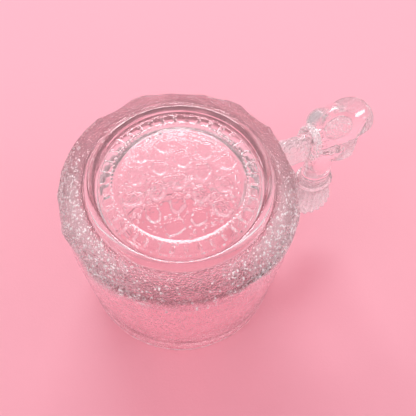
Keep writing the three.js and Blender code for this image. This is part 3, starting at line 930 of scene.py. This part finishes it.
def ripple_group():
    """Slow unevenness of pressed glass, with faint wipe marks for its roughness."""
    tree, given, result = group_tree(
        "glass_ripple", "ShaderNodeTree",
        {"Length": ("NodeSocketFloat", 6.0), "Gloss": ("NodeSocketFloat", 0.02)},
        {"Height": ("NodeSocketFloat", None), "Roughness": ("NodeSocketFloat", None)},
    )
    place = put(tree, "ShaderNodeTexCoord").outputs["Object"]
    scale = math_of(tree, "DIVIDE", 1000.0, given.outputs["Length"])
    waves = put(tree, "ShaderNodeTexNoise", {"Vector": place, "Scale": scale, "Detail": 1.0})
    smears = {"Vector": place, "Scale": 90.0, "Detail": 3.0, "Distortion": 1.5}
    wipes = put(tree, "ShaderNodeTexNoise", smears).outputs[0]
    marks = ranged(tree, wipes, 0.45, 0.75, 0.0, 0.05, "LINEAR")
    rough = math_of(tree, "ADD", marks, given.outputs["Gloss"])
    tree.links.new(waves.outputs[0], result.inputs["Height"])
    tree.links.new(rough, result.inputs["Roughness"])
    return tree


def glass(name, ripple, grains, tint, gloss, ripple_length, grain_height, frost, clearness=1.0):
    """Glass that lets light through to its shadow. Grain shows where the skin's stone attribute says.

    Frost makes it duller where the frost attribute says. Clearness below 1 makes part of it scatter light.
    """
    material = bpy.data.materials.new(name)
    material.use_nodes = True
    tree = material.node_tree
    shader = tree.nodes["Principled BSDF"]
    shader.inputs["Base Color"].default_value = (*tint, 1)
    shader.inputs["Transmission Weight"].default_value = clearness
    shader.inputs["IOR"].default_value = 1.5
    waves = put(tree, "ShaderNodeGroup", {}, node_tree=ripple)
    waves.inputs["Length"].default_value = ripple_length
    waves.inputs["Gloss"].default_value = gloss
    first = put(
        tree, "ShaderNodeBump",
        {"Strength": 1.0, "Distance": 0.00002 * ripple_length, "Height": waves.outputs["Height"]},
    )
    stone_part = put(tree, "ShaderNodeAttribute", attribute_name="stone").outputs["Fac"]
    grit = put(tree, "ShaderNodeGroup", {}, node_tree=grains)
    grit.inputs["Grain"].default_value = GRIT_SIZE
    tree.links.new(stone_part, grit.inputs["Amount"])
    second = put(
        tree, "ShaderNodeBump",
        {"Strength": 1.0, "Distance": grain_height * MM, "Height": grit.outputs["Height"],
         "Normal": first.outputs[0]},
    )
    frost_part = put(tree, "ShaderNodeAttribute", attribute_name="frost").outputs["Fac"]
    patchy = math_of(tree, "ADD", math_of(tree, "MULTIPLY", grit.outputs["Peaks"], 0.6), 0.7)
    frosted = math_of(tree, "MULTIPLY", math_of(tree, "MULTIPLY", patchy, frost_part), frost)
    rough = math_of(tree, "ADD", waves.outputs["Roughness"], frosted)
    tree.links.new(second.outputs[0], shader.inputs["Normal"])
    tree.links.new(rough, shader.inputs["Roughness"])
    clear = put(tree, "ShaderNodeBsdfTransparent")
    path = put(tree, "ShaderNodeLightPath").outputs
    tinted = math_of(tree, "LESS_THAN", path["Transparent Depth"], 3.5)
    shade = {0: tinted, 6: (1, 1, 1, 1), 7: (*SHADOW_TINT, 1)}
    through = put(tree, "ShaderNodeMix", shade, data_type="RGBA")
    tree.links.new(through.outputs[2], clear.inputs["Color"])
    either = {0: path["Is Shadow Ray"], 1: shader.outputs[0], 2: clear.outputs[0]}
    mix = put(tree, "ShaderNodeMixShader", either)
    tree.links.new(mix.outputs[0], tree.nodes["Material Output"].inputs["Surface"])
    return material


def make_finishes():
    """The mug's glasses in the order of their numbers: clear, stippled, painted glint and painted sparkle."""
    ripple, grains = ripple_group(), grain_group()
    return [glass(name, ripple, grains, **finish) for name, finish in FINISHES.items()]


def finish_faces(mug):
    """Gives each face its glass. Faces get the painted glint glass at random, as often as their painted glint
    share and the relief say.
    """
    stone_share = point_values(mug, "stone")
    painted_glint = point_values(mug, "painted_glint")
    for face in mug.data.polygons:
        x, y, z = face.center / MM
        on_relief = z > RELIEF_Z and math.hypot(x - AXIS_X, y - AXIS_Y) < PLATE_RADIUS + 0.5
        # Steep edges of the relief get painted glint outlines
        edge = PAINTED_EDGE_GLINT * smooth(EDGE_LEVEL - face.normal.z, 0, 0.2) if on_relief else 0.0
        share = max(edge, sum(painted_glint[v] for v in face.vertices) / len(face.vertices))
        draw = scatter(face.index, 0, 11)
        if draw < share:
            face.material_index = PAINTED_SPARK if draw < PAINTED_SPARK_SHARE * share else PAINTED_GLINT
        else:
            face.material_index = STONE if max(stone_share[v] for v in face.vertices) > 0 else CLEAR


def point_values(obj, name):
    values = np.zeros(len(obj.data.vertices), dtype=np.float32)
    obj.data.attributes[name].data.foreach_get("value", values)
    return values


def floor_material():
    """Pale pink card, otherwise even, with a faint tooth. It is a little darker towards the front, as painted
    shade where the light falls off.
    """
    material = bpy.data.materials.new("pink_card")
    material.use_nodes = True
    tree = material.node_tree
    shader = tree.nodes["Principled BSDF"]
    place = put(tree, "ShaderNodeTexCoord").outputs["Object"]
    depth = dot_of(tree, place, (*FLOOR_FALL, 0.0))
    share = ranged(tree, depth, -0.16, 0.12)
    colour = put(tree, "ShaderNodeMix", data_type="RGBA")
    colour.inputs[6].default_value = (*SHADED_FLOOR_NEAR, 1)
    colour.inputs[7].default_value = (*FLOOR_FAR, 1)
    tree.links.new(share, colour.inputs[0])
    tree.links.new(colour.outputs[2], shader.inputs["Base Color"])
    tooth = put(tree, "ShaderNodeTexNoise", {"Vector": place, "Scale": 900.0, "Detail": 3.0})
    bump = put(tree, "ShaderNodeBump", {"Strength": 0.25, "Distance": 0.0002, "Height": tooth.outputs[0]})
    tree.links.new(bump.outputs[0], shader.inputs["Normal"])
    shader.inputs["Roughness"].default_value = 0.85
    shader.inputs["Specular IOR Level"].default_value = 0.1
    return material


# Studio
FLOOR_FALL = (0.377, 0.815)  # the direction on the floor that runs up the picture
FLOOR_FAR = (0.83, 0.392, 0.465)
# The card's colour near the camera is darker: painted shade where the light falls off
SHADED_FLOOR_NEAR = (0.72, 0.318, 0.384)
CARD_HALF_SIZE = 20.0
HORIZON = (0.95, 0.49, 0.57)
WALLS = (0.57, 0.51, 0.53)
CEILING = (0.93, 0.88, 0.9)
FRONT_LEVEL = 1.4  # how bright the room is on the camera's side and behind the mug
BACK_LEVEL = 0.75
SIDE_GAIN = 0.6  # how much brighter it is at the left and right
CAMERA_PLACE = Vector((-0.05596, -0.08101, 0.25205))
CAMERA_FORWARD = Vector((0.22073, 0.38231, -0.89728))
CAMERA_UP = Vector((0.37673, 0.81516, 0.43999))
CAMERA_LENS = 43.27


def make_camera():
    data = bpy.data.cameras.new("camera")
    data.lens = CAMERA_LENS
    data.sensor_width = 36.0
    data.clip_start = 0.01
    camera = bpy.data.objects.new("camera", data)
    bpy.context.collection.objects.link(camera)
    right = CAMERA_FORWARD.cross(CAMERA_UP).normalized()
    up = right.cross(CAMERA_FORWARD).normalized()
    turn = Matrix((right, up, -CAMERA_FORWARD.normalized())).transposed()
    camera.matrix_world = Matrix.Translation(CAMERA_PLACE) @ turn.to_4x4()
    bpy.context.scene.camera = camera


def make_floor():
    up = Vector((*FLOOR_FALL, 0.0)).normalized()
    right = Vector((up.y, -up.x, 0.0))
    corners = [(right * a + up * b) * CARD_HALF_SIZE for b in (-1, 1) for a in (-1, 1)]
    floor = mesh_object("floor", corners, [(0, 1, 3, 2)])
    floor.data.transform(Matrix.Translation((0, 0, -0.00005)))
    floor.data.materials.append(floor_material())


def softbox(name, azimuth, elevation, distance, size, power, colour=(1, 1, 1)):
    """A rectangular lamp that faces the mug. Azimuth 0 is behind the mug, along +Y, and 90 along +X."""
    data = bpy.data.lights.new(name, "AREA")
    data.shape = "RECTANGLE"
    data.size, data.size_y = size
    data.energy = power
    data.color = colour
    lamp = bpy.data.objects.new(name, data)
    bpy.context.collection.objects.link(lamp)
    a, e = math.radians(azimuth), math.radians(elevation)
    back = Vector((math.sin(a) * math.cos(e), math.cos(a) * math.cos(e), math.sin(e)))
    lamp.location = Vector((0, 0, 0.05)) + back * distance
    lamp.rotation_mode = "QUATERNION"
    lamp.rotation_quaternion = back.to_track_quat("Z", "Y")


def make_light():
    """A pale room that is brighter on the camera's side, left and right. The camera sees it as pink card."""
    world = bpy.data.worlds.new("room")
    bpy.context.scene.world = world
    world.use_nodes = True
    tree = world.node_tree
    way = put(tree, "ShaderNodeTexCoord").outputs["Generated"]
    height = put(tree, "ShaderNodeSeparateXYZ", {0: way}).outputs["Z"]
    walls = put(tree, "ShaderNodeValToRGB", {"Fac": height})
    stops = walls.color_ramp.elements
    stops[0].position, stops[0].color = 0.6, (*WALLS, 1)
    stops[1].position, stops[1].color = 0.95, (*CEILING, 1)
    back = dot_of(tree, way, (*FLOOR_FALL, 0.0))
    side = ranged(tree, back, -0.5, 0.5, FRONT_LEVEL, BACK_LEVEL)
    across = dot_of(tree, way, (FLOOR_FALL[1], -FLOOR_FALL[0], 0.0))
    flank = math_of(tree, "POWER", math_of(tree, "ABSOLUTE", across), 4.0)
    gain = math_of(tree, "ADD", math_of(tree, "MULTIPLY", flank, SIDE_GAIN), 1.0)
    room = scaled(tree, walls.outputs[0], math_of(tree, "MULTIPLY", side, gain))
    # Behind the mug the room is pink just above the card, so that the glass shows the same pink as the camera
    behind = ranged(tree, back, 0.1, 0.5)
    low = ranged(tree, height, 0.06, 0.22, 1.0, 0.0)
    seen = put(tree, "ShaderNodeLightPath").outputs["Is Camera Ray"]
    pink = math_of(tree, "MAXIMUM", math_of(tree, "MULTIPLY", behind, low), seen)
    both = put(tree, "ShaderNodeMix", {0: pink, 6: room, 7: (*HORIZON, 1)}, data_type="RGBA")
    tree.links.new(both.outputs[2], tree.nodes["Background"].inputs["Color"])
    softbox("window", 20, 38, 2.2, (1.5, 0.54), 35)
    softbox("left_window", 262, 42, 1.5, (0.3, 0.24), 1.6)
    softbox("right_window", 120, 26, 1.5, (0.26, 0.2), 1.2)


make_camera()
make_floor()
make_light()
mug = make_mug()
mug.data.materials.clear()
for finish in make_finishes():
    mug.data.materials.append(finish)
finish_faces(mug)
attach(mug, "root")
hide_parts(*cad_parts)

bpy.context.scene.view_settings.view_transform = "Standard"
bpy.context.scene.cycles.max_bounces = 48
bpy.context.scene.cycles.transmission_bounces = 48
